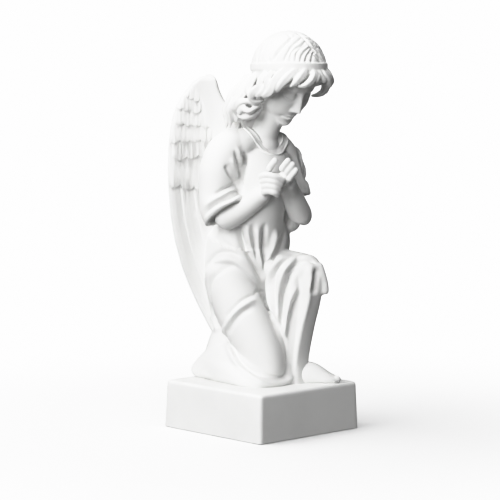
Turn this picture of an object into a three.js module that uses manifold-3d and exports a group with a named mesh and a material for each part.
// Kneeling, praying angel on a square plinth: one casting, so one solid.
// Millimetres, +Z up. The figure faces -Y and its right side is at -X.
// The origin is the centre of the plinth's underside.

import * as THREE from "three";
import { ParametricGeometry } from "three/addons/geometries/ParametricGeometry.js";
import { RoundedBoxGeometry } from "three/addons/geometries/RoundedBoxGeometry.js";
import { mergeVertices } from "three/addons/utils/BufferGeometryUtils.js";
import Module from "manifold-3d";

const wasm = await Module();
wasm.setup();

// ---- driving dimensions ----

const plinth = { side: 175, height: 60, draft: 2, edge: 3.5 };
const deck = plinth.height; // the level that the figure kneels on

// The pose, as named points of the body.
const joint = {
  shoulderR: [-46, 15, 342],
  elbowR: [-54, 12, 271],
  mouthR: [-55, 8, 266],
  wristR: [-29, -31, 305],
  shoulderL: [43, -2, 336],
  elbowL: [49, -21, 270],
  mouthL: [46, -17, 274],
  wristL: [-1, -46, 312],
  hipR: [-32, 30, 196],
  kneeR: [-13, -34, 84],
  heelR: [-38, 70, 74],
  hipL: [20, 28, 198],
  kneeL: [33, -50, 204],
  ankleL: [27, -50, 86],
};

const head = { centre: [5, -42, 451], pitch: 37, turn: 4 };
const cap = { centre: [5, -42], side: 41.5, depth: 49, brow: 454, crown: 500 }; // the hair over the skull

const wing = {
  root: [14, 45], // plan position of the inner edge, for the wing on +X
  sweep: 33, // degrees that it is swept back from straight sideways
  cup: 11, // how far its edges come forward of its middle
  tip: [12, 105], // measured outwards and up
  feathers: 5, // side by side in each layer
};

const fold = { size: 3.2 }; // half the width of a robe fold

// ---- shapes ----

const vec = (p) => new THREE.Vector3(...p);
const lerp = (a, b, t) => a + (b - a) * t;
const between = (p, q, t) => p.map((c, i) => lerp(c, q[i], t));
const radians = THREE.MathUtils.degToRad;
const range = (count) => Array.from({ length: count }, (_, i) => i);

// A closed geometry as a manifold-3d solid, facing outwards.
function solidFrom(geometry) {
  const bare = geometry.clone();
  bare.deleteAttribute("normal");
  bare.deleteAttribute("uv");
  const merged = mergeVertices(bare, 1e-3);
  const index = [];
  for (let i = 0; i < merged.index.count; i += 3) {
    const [a, b, c] = [0, 1, 2].map((k) => merged.index.getX(i + k));
    if (a !== b && b !== c && c !== a) index.push(a, b, c);
  }
  const build = (triangles) =>
    new wasm.Manifold(
      new wasm.Mesh({
        numProp: 3,
        vertProperties: new Float32Array(merged.attributes.position.array),
        triVerts: new Uint32Array(triangles),
      }),
    );
  const made = build(index);
  return made.volume() > 0 ? made : build(index.reverse());
}

// A surface goes once round (turn) and runs from end to end (row). Its first and last rows are closed.
function solidOf(pointAt, around, rows) {
  const surface = (u, v, target) => pointAt(u * 2 * Math.PI, Math.round(v * rows), target);
  return solidFrom(new ParametricGeometry(surface, around, rows));
}

// An oval section carried along a smooth path, with rounded ends.
// Each station is [x, y, z, half width, half depth]. The width lies along `across`,
// which may turn evenly to `acrossEnd`. `start` and `end` are the lengths of the rounded
// ends as multiples of the section. `steps` is how many rows each rounded end has, or [start, end].
function limb(stations, options = {}) {
  const { around = 12, along = 7, square = 2, start = 1, end = 1, steps = 2 } = options;
  const across = vec(options.across ?? [1, 0, 0]);
  const acrossEnd = vec(options.acrossEnd ?? options.across ?? [1, 0, 0]);
  const curve = (points) => new THREE.CatmullRomCurve3(points, false, "catmullrom", 0.5);
  const path = curve(stations.map((s) => vec(s.slice(0, 3))));
  const girth = curve(stations.map((s) => new THREE.Vector3(s[3], s[4] ?? s[3], 0)));
  const thin = (s) => Math.min(s[3], s[4] ?? s[3]);
  const length = path.getLength();
  const first = Math.min(0.7, (start * thin(stations[0])) / length);
  const last = Math.min(0.7, (end * thin(stations.at(-1))) / length);
  const [lead, tail] = [steps].flat().length === 2 ? steps : [steps, steps];
  const capRows = (count) => range(count).map((i) => 1 - Math.cos((i / count) * (Math.PI / 2)));
  const shoulder = (count) => (count > 2 ? 1 : 0.62);
  const ts = [
    ...capRows(lead).map((e) => e * first),
    ...range(along).map((i) => lerp(first * shoulder(lead), 1 - last * shoulder(tail), i / (along - 1))),
    ...capRows(tail)
      .map((e) => 1 - e * last)
      .reverse(),
  ];
  const swell = (t) => {
    const e = t < first ? 1 - t / first : t > 1 - last ? 1 - (1 - t) / last : 0;
    return Math.sqrt(Math.max(0, 1 - e * e));
  };
  const rings = ts.map((t) => {
    const ahead = path.getTangent(t);
    const size = girth.getPoint(t).multiplyScalar(swell(t));
    const u = across.clone().lerp(acrossEnd, t);
    u.addScaledVector(ahead, -u.dot(ahead)).normalize();
    const v = new THREE.Vector3().crossVectors(ahead, u);
    return { centre: path.getPoint(t), u: u.multiplyScalar(size.x), v: v.multiplyScalar(size.y) };
  });
  const shaped = (c) => Math.sign(c) * Math.abs(c) ** (2 / square);
  const pointAt = (turn, row, target) => {
    const { centre, u, v } = rings[row];
    const open = row > 0 && row < ts.length - 1 ? 1 : 0;
    target.copy(centre);
    target.addScaledVector(u, open * shaped(Math.cos(turn)));
    target.addScaledVector(v, open * shaped(Math.sin(turn)));
  };
  return solidOf(pointAt, around, ts.length - 1);
}

// A thin rounded ridge that tapers to both ends, for a fold that lies on the robe.
function ridge(points, size) {
  const last = points.length - 1;
  const stations = points.map((p, i) => [...p, i === 0 || i === last ? size * 0.6 : size]);
  return limb(stations, { around: 4, along: points.length, across: [0.3, 0.2, 1], start: 1.5, end: 1.5, steps: 1 });
}

// A flat oval bar bent into a ring. `centreAt(turn)` is its middle line.
function hoop(centreAt, { up = [0, 0, 1], width, thickness, around = 6, along = 24 }) {
  const upward = vec(up).normalize();
  const surface = (u, v, target) => {
    const centre = centreAt(v * 2 * Math.PI);
    const ahead = centreAt(v * 2 * Math.PI + 1e-3).sub(centre).normalize();
    const out = new THREE.Vector3().crossVectors(ahead, upward).normalize();
    const side = new THREE.Vector3().crossVectors(out, ahead);
    target.copy(centre);
    target.addScaledVector(side, width * Math.cos(u * 2 * Math.PI));
    target.addScaledVector(out, thickness * Math.sin(u * 2 * Math.PI));
  };
  return solidFrom(new ParametricGeometry(surface, around, along));
}

const joined = (solids) => solids.reduce((a, b) => a.add(b));

// ---- plinth ----

function makePlinth() {
  const { side, height, draft, edge } = plinth;
  const box = new RoundedBoxGeometry(side, side, height, 1, edge);
  const p = box.attributes.position;
  for (let i = 0; i < p.count; i++) {
    const level = p.getZ(i) / height + 0.5;
    const inset = 1 - (draft * 2 * level) / side;
    p.setXYZ(i, p.getX(i) * inset, p.getY(i) * inset, p.getZ(i) + height / 2);
  }
  return solidFrom(box);
}

// ---- robe and body ----

const yawed = (degrees) => [Math.cos(radians(degrees)), -Math.sin(radians(degrees)), 0];

function makeGown() {
  // from the neck down the chest, waist and seat to the plinth
  return limb(
    [
      [1, 4, 374, 20, 15],
      [0, 5, 348, 40, 27],
      [-1, 6, 320, 43, 34],
      [-3, 18, 268, 41, 39],
      [3, 27, 236, 56, 46],
      [-4, 32, 204, 50, 46],
      [-3, 36, 164, 44, 38],
      [0, 38, 126, 38, 31],
      [-6, 42, 90, 42, 34],
      [-10, 42, deck - 8, 48, 42],
    ],
    { across: yawed(14), acrossEnd: yawed(0), around: 16, along: 10, end: 0.3 },
  );
}

function makeYoke() {
  // one wide tube runs from sleeve to sleeve over the shoulders
  const { shoulderR, shoulderL, mouthR, mouthL } = joint;
  const tube = limb(
    [
      [...mouthR, 24, 21],
      [-54, 20, 290, 23, 21],
      [-53, 19, 316, 21, 20],
      [...shoulderR, 21, 19],
      [-22, 9, 358, 20, 16],
      [1, 5, 362, 20, 14],
      [24, 1, 355, 20, 16],
      [...shoulderL, 20, 18],
      [48, -6, 312, 18, 18],
      [50, -10, 292, 18, 18],
      [...mouthL, 18, 18],
    ],
    { across: [0, 1, 0], around: 12, along: 13, start: 0.3, end: 0.3, steps: 1 },
  );
  const droop = limb([[48, -2, 288, 14, 14], [46, -3, 266, 14, 14], [44, -6, 246, 10, 11]], { around: 9, along: 3 });
  const hollows = [makeSleeveHollow(mouthR, [-54, 20, 290], 18), makeSleeveHollow(mouthL, [50, -10, 292], 15)];
  return tube.subtract(joined(hollows)).add(droop);
}

// The open end of a sleeve, cut back from its mouth towards the arm.
function makeSleeveHollow(mouth, arm, size) {
  return limb(
    [
      [...between(mouth, arm, 0.6), size * 0.7, size * 0.7],
      [...mouth, size + 2, size],
      [...between(mouth, arm, -0.6), size + 4, size + 2],
    ],
    { across: [0, 1, 0], around: 8, along: 3, steps: 1 },
  );
}

function makeForearm(elbow, wrist) {
  return limb(
    [
      [...between(elbow, wrist, -0.2), 15, 15],
      [...between(elbow, wrist, 0.2), 15.5, 15.5],
      [...between(elbow, wrist, 0.6), 13, 13],
      [...wrist, 9, 10],
    ],
    { around: 10, along: 5 },
  );
}

function makeForearms() {
  const { elbowR, wristR, elbowL, wristL } = joint;
  return [makeForearm(elbowR, wristR), makeForearm(elbowL, wristL)];
}

function makeHands() {
  const finger = (points, r) =>
    limb(points.map((p) => [...p, r, r]), { around: 5, along: 3, steps: 1, across: [0, 0, 1] });
  const palms = [
    limb([[-29, -33, 306, 9, 10], [-24, -44, 320, 11, 10], [-14, -47, 331, 7, 9]], { around: 8, along: 4 }),
    limb([[4, -44, 309, 10, 10], [-8, -51, 318, 12, 9], [-18, -52, 321, 12, 7]], { across: [0, 0, 1], around: 8, along: 4 }),
  ];
  // four fingers of the left hand lie over the back of the right hand
  const over = range(4).map((i) => {
    const z = 328 - 5.2 * i;
    return finger([[-12, -57, z - 2], [-24, -54, z], [-35 + (i % 2), -42 + i, z]], 3.7);
  });
  // the ends of the right hand's fingers and its thumb stand up behind them
  const under = [finger([[-14, -47, 330], [-4, -53, 345]], 4.2), finger([[-6, -49, 328], [3, -54, 340]], 4)];
  const thumb = finger([[-30, -38, 322], [-25, -43, 334], [-19, -46, 343]], 4.4);
  return [...palms, ...over, ...under, thumb];
}

function makeCollar() {
  const centreAt = (turn) =>
    new THREE.Vector3(25 * Math.cos(turn), -1 + 25 * Math.sin(turn), 364 + 18 * Math.sin(turn) + 5 * Math.sin(turn) ** 2);
  return hoop(centreAt, { up: [0, -0.6, 1], width: 6, thickness: 3.6, around: 5, along: 14 });
}

function makeLegs() {
  const { hipR, kneeR, heelR, hipL, kneeL, ankleL } = joint;
  const thighR = limb(
    [
      [hipR[0] - 1, hipR[1] + 4, hipR[2] + 20, 26, 28],
      [-34, 22, 178, 29, 32],
      [-28, -3, 132, 27, 32],
      [-20, -26, 94, 22, 26],
      [kneeR[0] - 1, kneeR[1] - 6, 64, 15, 14],
    ],
    { around: 11, along: 5 },
  );
  const shinR = limb(
    [
      [kneeR[0] - 2, kneeR[1] - 6, deck + 12, 19, 14],
      [-27, 6, deck + 22, 28, 26],
      [-34, 44, deck + 20, 20, 24],
      [heelR[0], heelR[1] + 14, deck + 6, 11, 8],
    ],
    { around: 10, along: 4, start: 0.6 },
  );
  const thighL = limb(
    [
      [...hipL, 30, 28],
      [26, -10, 203, 24, 23],
      [kneeL[0] - 1, kneeL[1] - 18, kneeL[2] - 3, 18, 19],
    ],
    { around: 11, along: 4 },
  );
  const shinL = limb(
    [
      [kneeL[0] - 1, kneeL[1] + 2, kneeL[2] + 16, 16, 18],
      [31, -48, 176, 18, 21],
      [27, -46, 120, 16, 19],
      [ankleL[0] - 3, ankleL[1] + 10, deck - 8, 18, 19],
    ],
    { across: yawed(-25), around: 11, along: 5, end: 0.4, square: 2.5, steps: 1 },
  );
  return [thighR, shinR, thighL, shinL];
}

function makeSkirt() {
  // the robe behind the figure, spread on the plinth
  const apron = limb(
    [
      [-14, -48, deck + 2, 28, 9],
      [-14, -20, deck + 8, 45, 16],
      [-10, 30, deck + 18, 47, 28],
      [-12, 82, deck + 6, 34, 12],
    ],
    { around: 12, along: 5, square: 2.3, end: 1.4, steps: 1 },
  );
  // the robe hanging from the raised thigh to the plinth, in front and under the thigh
  const curtain = limb(
    [
      [14, -26, 222, 26, 18],
      [10, -33, 180, 23, 19],
      [5, -33, 120, 20, 17],
      [3, -32, 78, 17, 17],
      [2, -32, deck - 6, 18, 18],
    ],
    { across: yawed(35), around: 11, along: 5, end: 0.4, steps: 1 },
  );
  const filling = limb(
    [
      [24, 2, 206, 25, 40],
      [23, 6, 130, 22, 38],
      [20, 10, deck - 6, 28, 44],
    ],
    { around: 10, along: 3, end: 0.4, steps: 1 },
  );
  return [apron, curtain, filling];
}

// Moves each point of a fold on to the nearest place of the robe.
function laidOn(robe, points) {
  const { position } = robe.geometry.attributes;
  const { index } = robe.geometry;
  const corner = (i) => new THREE.Vector3().fromBufferAttribute(position, index.getX(i));
  const triangles = range(index.count / 3).map(
    (i) => new THREE.Triangle(corner(3 * i), corner(3 * i + 1), corner(3 * i + 2)),
  );
  return points.map((p) => {
    const target = new THREE.Vector3();
    let best = { distance: Infinity };
    for (const triangle of triangles) {
      triangle.closestPointToPoint(vec(p), target);
      const distance = target.distanceTo(vec(p));
      if (distance < best.distance) best = { distance, point: target.toArray() };
    }
    return best.point;
  });
}

const folds = [
  // arcs round the right thigh
  { line: [[-60, 38, 196], [-62, 26, 216], [-52, 8, 226], [-38, -2, 220], [-20, -16, 194], [-10, -24, 168]] },
  { line: [[-60, 22, 152], [-60, 8, 180], [-46, -12, 194], [-30, -20, 188]] },
  { line: [[-54, 6, 116], [-50, -14, 140], [-38, -28, 158], [-22, -36, 160], [-10, -40, 150]] },
  // the hem round the right knee
  { line: [[-52, 20, 100], [-46, -10, 82], [-34, -34, 70], [-14, -52, 64], [4, -50, 66]], size: 4 },
  // folds falling from the raised knee
  { line: [[4, -30, 228], [-8, -32, 200], [-10, -36, 160], [0, -42, 110]] },
  { line: [[20, -44, 228], [2, -46, 204], [-2, -48, 160], [4, -50, 100]] },
  { line: [[46, -72, 190], [36, -72, 212], [14, -62, 210], [6, -60, 180], [8, -56, 110], [8, -48, 66]] },
  // the hem's hanging corner and the crest of the cloth on the shin
  { line: [[46, -56, 200], [42, -74, 184], [30, -74, 170], [14, -68, 168], [12, -60, 120], [10, -52, 70]], size: 5 },
  // folds gathered below the hands
  { line: [[-26, -18, 268], [-22, -20, 236], [-10, -22, 192]], size: 4 },
  { line: [[-4, -24, 272], [-4, -22, 236], [-6, -24, 186]], size: 4 },
  { line: [[18, -24, 268], [10, -24, 242], [0, -26, 204]], size: 4 },
];

function makeFolds(robe) {
  return folds.map(({ line, size = fold.size }) => {
    const smooth = new THREE.CatmullRomCurve3(line.map(vec)).getSpacedPoints(5);
    return ridge(laidOn(robe, smooth.map((p) => p.toArray())), size);
  });
}

function makeFootL() {
  const foot = limb(
    [
      [20, -38, deck + 12, 13, 14],
      [34, -54, deck + 12, 12, 14],
      [50, -67, deck + 6, 13, 8],
      [61, -75, deck + 2, 11, 5],
    ],
    { across: [0.6, 0.8, 0], around: 10, along: 5 },
  );
  const toes = range(5).map((i) => {
    const size = i === 0 ? 4.6 : 3.4;
    const x = 50 + i * 3.2;
    const y = -74 + i * 4;
    return limb([[x, y, deck + 5, size], [x + 9 - i, y - 8 + i, deck + 3.5, size]], {
      across: [0, 0, 1],
      around: 5,
      along: 2,
      steps: 1,
    });
  });
  return [foot, ...toes];
}

// ---- head ----

// Head measures are [to the figure's left, forward, up] from the middle of the skull.
const headAxes = (() => {
  const turn = new THREE.Matrix4().makeRotationZ(radians(head.turn));
  const nod = new THREE.Matrix4().makeRotationX(radians(head.pitch));
  const pose = turn.multiply(nod);
  const axis = (x, y, z) => new THREE.Vector3(x, y, z).transformDirection(pose);
  return { left: axis(1, 0, 0), forward: axis(0, -1, 0), up: axis(0, 0, 1) };
})();

function onHead(left, forward, up) {
  const p = vec(head.centre);
  p.addScaledVector(headAxes.left, left);
  p.addScaledVector(headAxes.forward, forward);
  p.addScaledVector(headAxes.up, up);
  return p.toArray();
}

function makeHead() {
  const across = headAxes.left.toArray();
  const face = limb(
    [
      [...onHead(0, 4, 14), 33, 34],
      [...onHead(0, 5, -14), 31, 34],
      [...onHead(0, 8, -36), 26, 30],
      [...onHead(0, 12, -53), 18, 23],
      [...onHead(0, 16, -68), 10, 13],
    ],
    { across, around: 12, along: 6, start: 0.3, steps: [1, 2] },
  );
  const nose = limb(
    [
      [...onHead(0, 36, -10), 3, 3],
      [...onHead(0, 39, -24), 3.4, 4.2],
      [...onHead(0, 39, -33), 5, 4.6],
    ],
    { across, around: 6, along: 3, steps: 1 },
  );
  const lip = (up, r) =>
    limb([[...onHead(-8, 33, up), r * 0.6], [...onHead(0, 36.5, up), r], [...onHead(8, 33, up), r * 0.6]], {
      across: [0, 0, 1],
      around: 5,
      along: 3,
      steps: 1,
    });
  const neck = limb(
    [
      [0, 4, 350, 21, 18],
      [0, -4, 376, 16, 16],
      [2, -20, 404, 17, 18],
      [3, -28, 424, 18, 20],
    ],
    { around: 12, along: 4 },
  );
  return [face, nose, lip(-45, 2.2), lip(-49, 2.6), neck];
}

// A point of the hair at the height of the band: turn 90 degrees is the front, \`out\` is outwards.
function onBrow(turn, out, up) {
  const { centre, side, depth, brow } = cap;
  return [centre[0] + (side + out) * Math.cos(turn), centre[1] - (depth + out) * Math.sin(turn), brow + up];
}

function makeHair() {
  const { centre, side, depth, brow, crown } = cap;
  const dome = limb(
    [
      [...centre, brow - 26, side - 6, depth - 7],
      [...centre, brow - 8, side, depth],
      [...centre, crown, side, depth],
    ],
    { around: 16, along: 3, start: 0.2, end: (crown - brow) / side, steps: [1, 5] },
  );
  const back = limb(
    [
      [4, -24, 452, 36, 30],
      [3, 0, 424, 33, 22],
      [1, 14, 396, 26, 12],
      [0, 20, 374, 18, 7],
    ],
    { around: 12, along: 4 },
  );
  const band = hoop((turn) => vec(onBrow(turn, 0.5, 0)), { width: 5.5, thickness: 2.6, around: 5, along: 18 });
  // locks hang from the band round the brow and over the ears
  const locks = [-1, 1].flatMap((hand) =>
    range(6).map((i) => {
      const t = i / 5;
      const turn = radians(90 - hand * lerp(8, 118, t));
      const drop = lerp(27, 44, t);
      const ends = [onBrow(turn, -2, -6), onBrow(turn, 4.5, -drop * 0.6), onBrow(turn + hand * 0.1, 3 - 6 * t, -drop)];
      return limb(ends.map((p, k) => [...p, k === 2 ? 3 : 5, k === 2 ? 5 : 8.5]), {
        across: [Math.cos(turn), -Math.sin(turn), 0],
        around: 5,
        along: 3,
        steps: 1,
      });
    }),
  );
  // a bunch of long hair falls behind each ear on to the shoulder, with locks along it
  const bunches = [-1, 1].flatMap((hand) => {
    const fall = (x, y, z, a, b) => [hand * x + 3, y, z, a, b];
    return [
      limb([fall(28, -16, 446, 12, 24), fall(30, 4, 418, 13, 20), fall(28, 16, 392, 13, 12), fall(30, 20, 372, 6, 6)], {
        around: 8,
        along: 4,
      }),
      limb([fall(38, -26, 432, 5), fall(43, -8, 410, 7), fall(38, 2, 396, 6), fall(40, 6, 384, 3)], {
        around: 5,
        along: 4,
        steps: 1,
      }),
      limb([fall(38, -2, 436, 5), fall(42, 14, 410, 7), fall(36, 24, 390, 6), fall(38, 24, 376, 3)], {
        around: 5,
        along: 4,
        steps: 1,
      }),
    ];
  });
  return [dome, back, band, ...locks, ...bunches];
}

// ---- wings ----

// A point of a wing: `out` runs along it from its inner edge, `z` is the height, `fore` is towards its front.
function onWing(hand, out, z, fore = 0) {
  const sweep = radians(wing.sweep);
  const w = fore + wing.cup * ((out - 34) / 46) ** 2;
  return [
    hand * (wing.root[0] + out * Math.cos(sweep) + w * Math.sin(sweep)),
    wing.root[1] + out * Math.sin(sweep) - w * Math.cos(sweep),
    z,
  ];
}

// The wing's outer and inner edges, as [out, z] going up.
const outerEdge = [[15, 106], [41, 154], [63, 205], [78, 269], [82, 332], [78, 382], [60, 422], [30, 445]];
const innerEdge = [[9, 106], [-6, 154], [-12, 205], [-14, 269], [-12, 332], [-5, 382], [13, 422], [26, 445]];

function edgeAt(edge, z) {
  const i = edge.findIndex((p) => p[1] >= z);
  if (i <= 0) return edge.at(i === 0 ? 0 : -1)[0];
  const [a, b] = [edge[i - 1], edge[i]];
  return lerp(a[0], b[0], (z - a[1]) / (b[1] - a[1]));
}

// One layer of overlapping feathers. Its lower edge slopes from `low[0]` at the inner side to
// `low[1]` at the outer side and is scalloped, one scallop to a feather.
function featherLayer(hand, { low, high, thickness, scallop, rows, spread }) {
  const { feathers } = wing;
  const pointAt = (turn, row, target) => {
    const u = (1 - Math.cos(turn)) / 2;
    const face = Math.sin(turn) >= 0 ? 1 : -1;
    const round = Math.abs(Math.sin(Math.PI * u * feathers));
    const bottom = lerp(low[0], low[1], u) - scallop * round;
    const t = row === 1 ? 0.07 : row / rows;
    const z = lerp(bottom, high, t);
    const out = lerp(edgeAt(innerEdge, z) - spread, edgeAt(outerEdge, z) + spread, u);
    const open = row === 0 || row === rows || Math.abs(Math.sin(turn)) < 1e-6 ? 0 : 1;
    const half = thickness * (0.82 + 0.18 * round);
    target.set(...onWing(hand, out, z, face * open * half));
  };
  return solidOf(pointAt, feathers * 4, rows);
}

function makeWing(hand) {
  const layers = [
    { low: [110, 106], high: 430, thickness: 4, scallop: 3, rows: 6, spread: 0 },
    { low: [280, 304], high: 436, thickness: 5.8, scallop: 14, rows: 4, spread: 1 },
    { low: [340, 372], high: 443, thickness: 8, scallop: 12, rows: 3, spread: 2 },
  ];
  const bone = limb(
    [
      [...onWing(hand, -4, 340), 8, 8],
      [...onWing(hand, 6, 388), 6.5, 8],
      [...onWing(hand, 17, 424), 6, 7.5],
      [...onWing(hand, 32, 440), 5.5, 7],
      [...onWing(hand, 52, 428), 5.5, 7],
      [...onWing(hand, 72, 392), 5, 6.5],
    ],
    { across: [0, 1, 0], around: 6, along: 6, steps: 1 },
  );
  return [...layers.map((layer) => featherLayer(hand, layer)), bone];
}

// ---- the casting ----

const robe = joined([makeGown(), makeYoke(), ...makeLegs(), ...makeSkirt()]);
const castStone = new THREE.MeshStandardMaterial({ color: 0xf2f1ee, roughness: 0.75, metalness: 0 });

const figure = joined([
  makePlinth(),
  robe,
  ...makeFolds(meshOf(robe, "robe", castStone)),
  ...makeForearms(),
  ...makeHands(),
  makeCollar(),
  ...makeFootL(),
  ...makeHead(),
  ...makeHair(),
  ...makeWing(-1),
  ...makeWing(1),
]);

// Keeps the largest connected surface, which drops the small pockets left where forms overlap.
function outerSurface(triangles, vertexCount) {
  const group = range(vertexCount);
  const find = (i) => {
    while (group[i] !== i) {
      group[i] = group[group[i]];
      i = group[i];
    }
    return i;
  };
  for (let i = 0; i < triangles.length; i += 3) {
    group[find(triangles[i])] = find(triangles[i + 1]);
    group[find(triangles[i + 1])] = find(triangles[i + 2]);
  }
  const sizes = new Map();
  for (const i of triangles) sizes.set(find(i), (sizes.get(find(i)) ?? 0) + 1);
  const [largest] = [...sizes].reduce((a, b) => (b[1] > a[1] ? b : a));
  return triangles.filter((i) => find(i) === largest);
}

function meshOf(solid, name, material) {
  const { numProp, vertProperties, triVerts } = solid.getMesh();
  const count = vertProperties.length / numProp;
  const positions = new Float32Array(count * 3);
  for (let i = 0; i < count; i++) {
    positions.set(vertProperties.subarray(i * numProp, i * numProp + 3), i * 3);
  }
  const geometry = new THREE.BufferGeometry();
  geometry.setAttribute("position", new THREE.BufferAttribute(positions, 3));
  geometry.setIndex(new THREE.BufferAttribute(outerSurface(triVerts, count), 1));
  geometry.computeVertexNormals();
  const mesh = new THREE.Mesh(geometry, material);
  mesh.name = name;
  return mesh;
}

const statue = new THREE.Group();
statue.add(meshOf(figure, "angel_statue", castStone));

export default statue;
